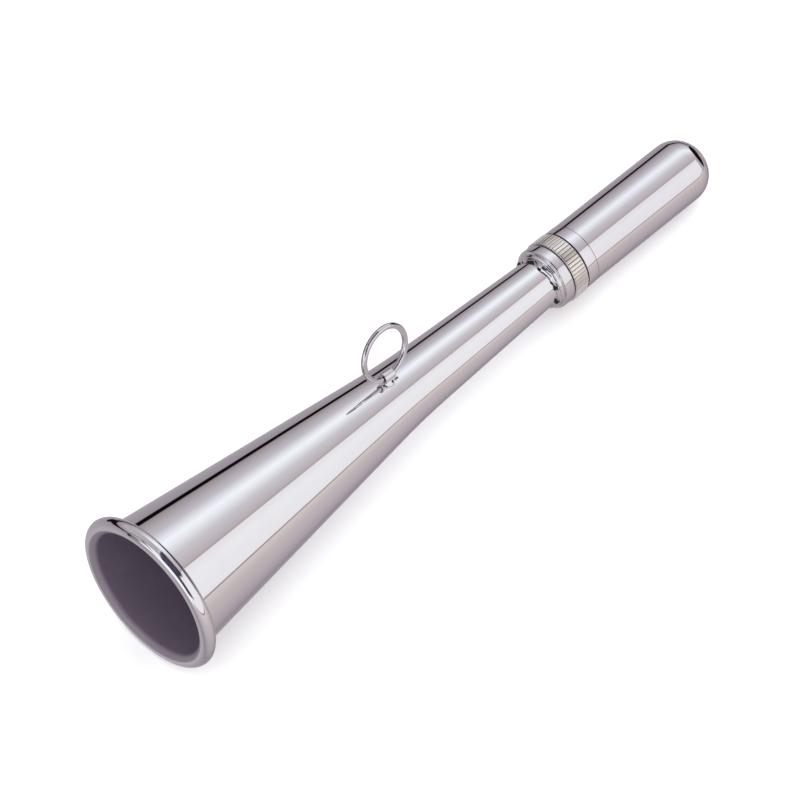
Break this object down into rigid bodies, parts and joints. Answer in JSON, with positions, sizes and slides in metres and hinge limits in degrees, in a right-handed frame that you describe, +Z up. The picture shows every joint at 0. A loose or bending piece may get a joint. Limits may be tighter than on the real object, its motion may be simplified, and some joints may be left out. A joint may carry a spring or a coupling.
{
  "type": "reed signal horn",
  "caption": "Flared metal signal horn with a rolled rim, blown through a screwed-on reed mouthpiece with a rounded end; a ring on top hangs it.",
  "frame": {"origin": "middle of the bounding box at table height, with the horn lying on its rim and its mouthpiece", "axes": "+X along the horn from the mouth to the mouthpiece, +Z up, the hanging ring on top"},
  "size_m": [0.3256, 0.0702, 0.07],
  "materials": {
    "polished_chrome": "bright polished chrome plate on spun brass sheet",
    "ring_chrome": "bright polished chrome plate on steel wire",
    "solder": "plated solder, uneven and shiny",
    "rim_wire_steel": "plain drawn wire",
    "knurled_nickel": "satin nickel plate, knurled",
    "reed_brass": "turned, unplated",
    "reed_bronze": "rolled spring strip",
    "screw_steel": "plain",
    "washer_fibre": "dark fibre, matt"
  },
  "bodies": {
    "horn": {"bell": "polished_chrome", "rim_wire": "rim_wire_steel", "ring_lug": "polished_chrome", "lug_solder": "solder", "neck_solder": "solder", "neck_collar": "polished_chrome"},
    "hang_ring": {"hang_ring": "ring_chrome"},
    "front_washer": {"front_washer": "washer_fibre"},
    "reed_unit": {"reed_carrier": "knurled_nickel", "shallot": "reed_brass", "shallot_plug": "reed_brass", "reed_bed": "reed_brass", "reed_root": "reed_bronze", "reed_clamp": "reed_brass", "clamp_screws": "screw_steel"},
    "reed_tongue": {"reed_tongue": "reed_bronze"},
    "rear_washer": {"rear_washer": "washer_fibre"},
    "mouthpiece": {"mouthpiece_ferrule": "polished_chrome", "ferrule_solder": "solder", "mouthpiece_tube": "polished_chrome"}
  },
  "joints": [
    {"name": "ring_swing", "type": "hinge", "parent": "horn", "child": "hang_ring", "pos_m": [-0.02471, 0, 0.04462], "axis": [0.9858, 0, -0.1678], "range_deg": [-95, 125]},
    {"name": "carrier_travel", "type": "slide", "parent": "horn", "child": "front_washer", "axis": [0.9977, 0, -0.0682], "range_m": [0, 0.00401]},
    {"name": "carrier_turn", "type": "hinge", "parent": "front_washer", "child": "reed_unit", "pos_m": [0.07217, 0, 0.01934], "axis": [0.9977, 0, -0.0682], "range_deg": [0, 1440]},
    {"name": "reed_flex", "type": "hinge", "parent": "reed_unit", "child": "reed_tongue", "pos_m": [0.09642, 0, 0.02084], "axis": [0, 1, 0], "range_deg": [-1.5, 1.4], "stiffness_Nm_per_rad": 0.05},
    {"name": "mouthpiece_travel", "type": "slide", "parent": "reed_unit", "child": "rear_washer", "axis": [0.9977, 0, -0.0682], "range_m": [0, 0.00601]},
    {"name": "mouthpiece_turn", "type": "hinge", "parent": "rear_washer", "child": "mouthpiece", "pos_m": [0.08005, 0, 0.0188], "axis": [0.9977, 0, -0.0682], "range_deg": [0, 2160]}
  ],
  "couplings": [
    {"joint": "carrier_travel", "follows": "carrier_turn", "m_per_rad": 0.00015915},
    {"joint": "mouthpiece_travel", "follows": "mouthpiece_turn", "m_per_rad": 0.00015915}
  ]
}
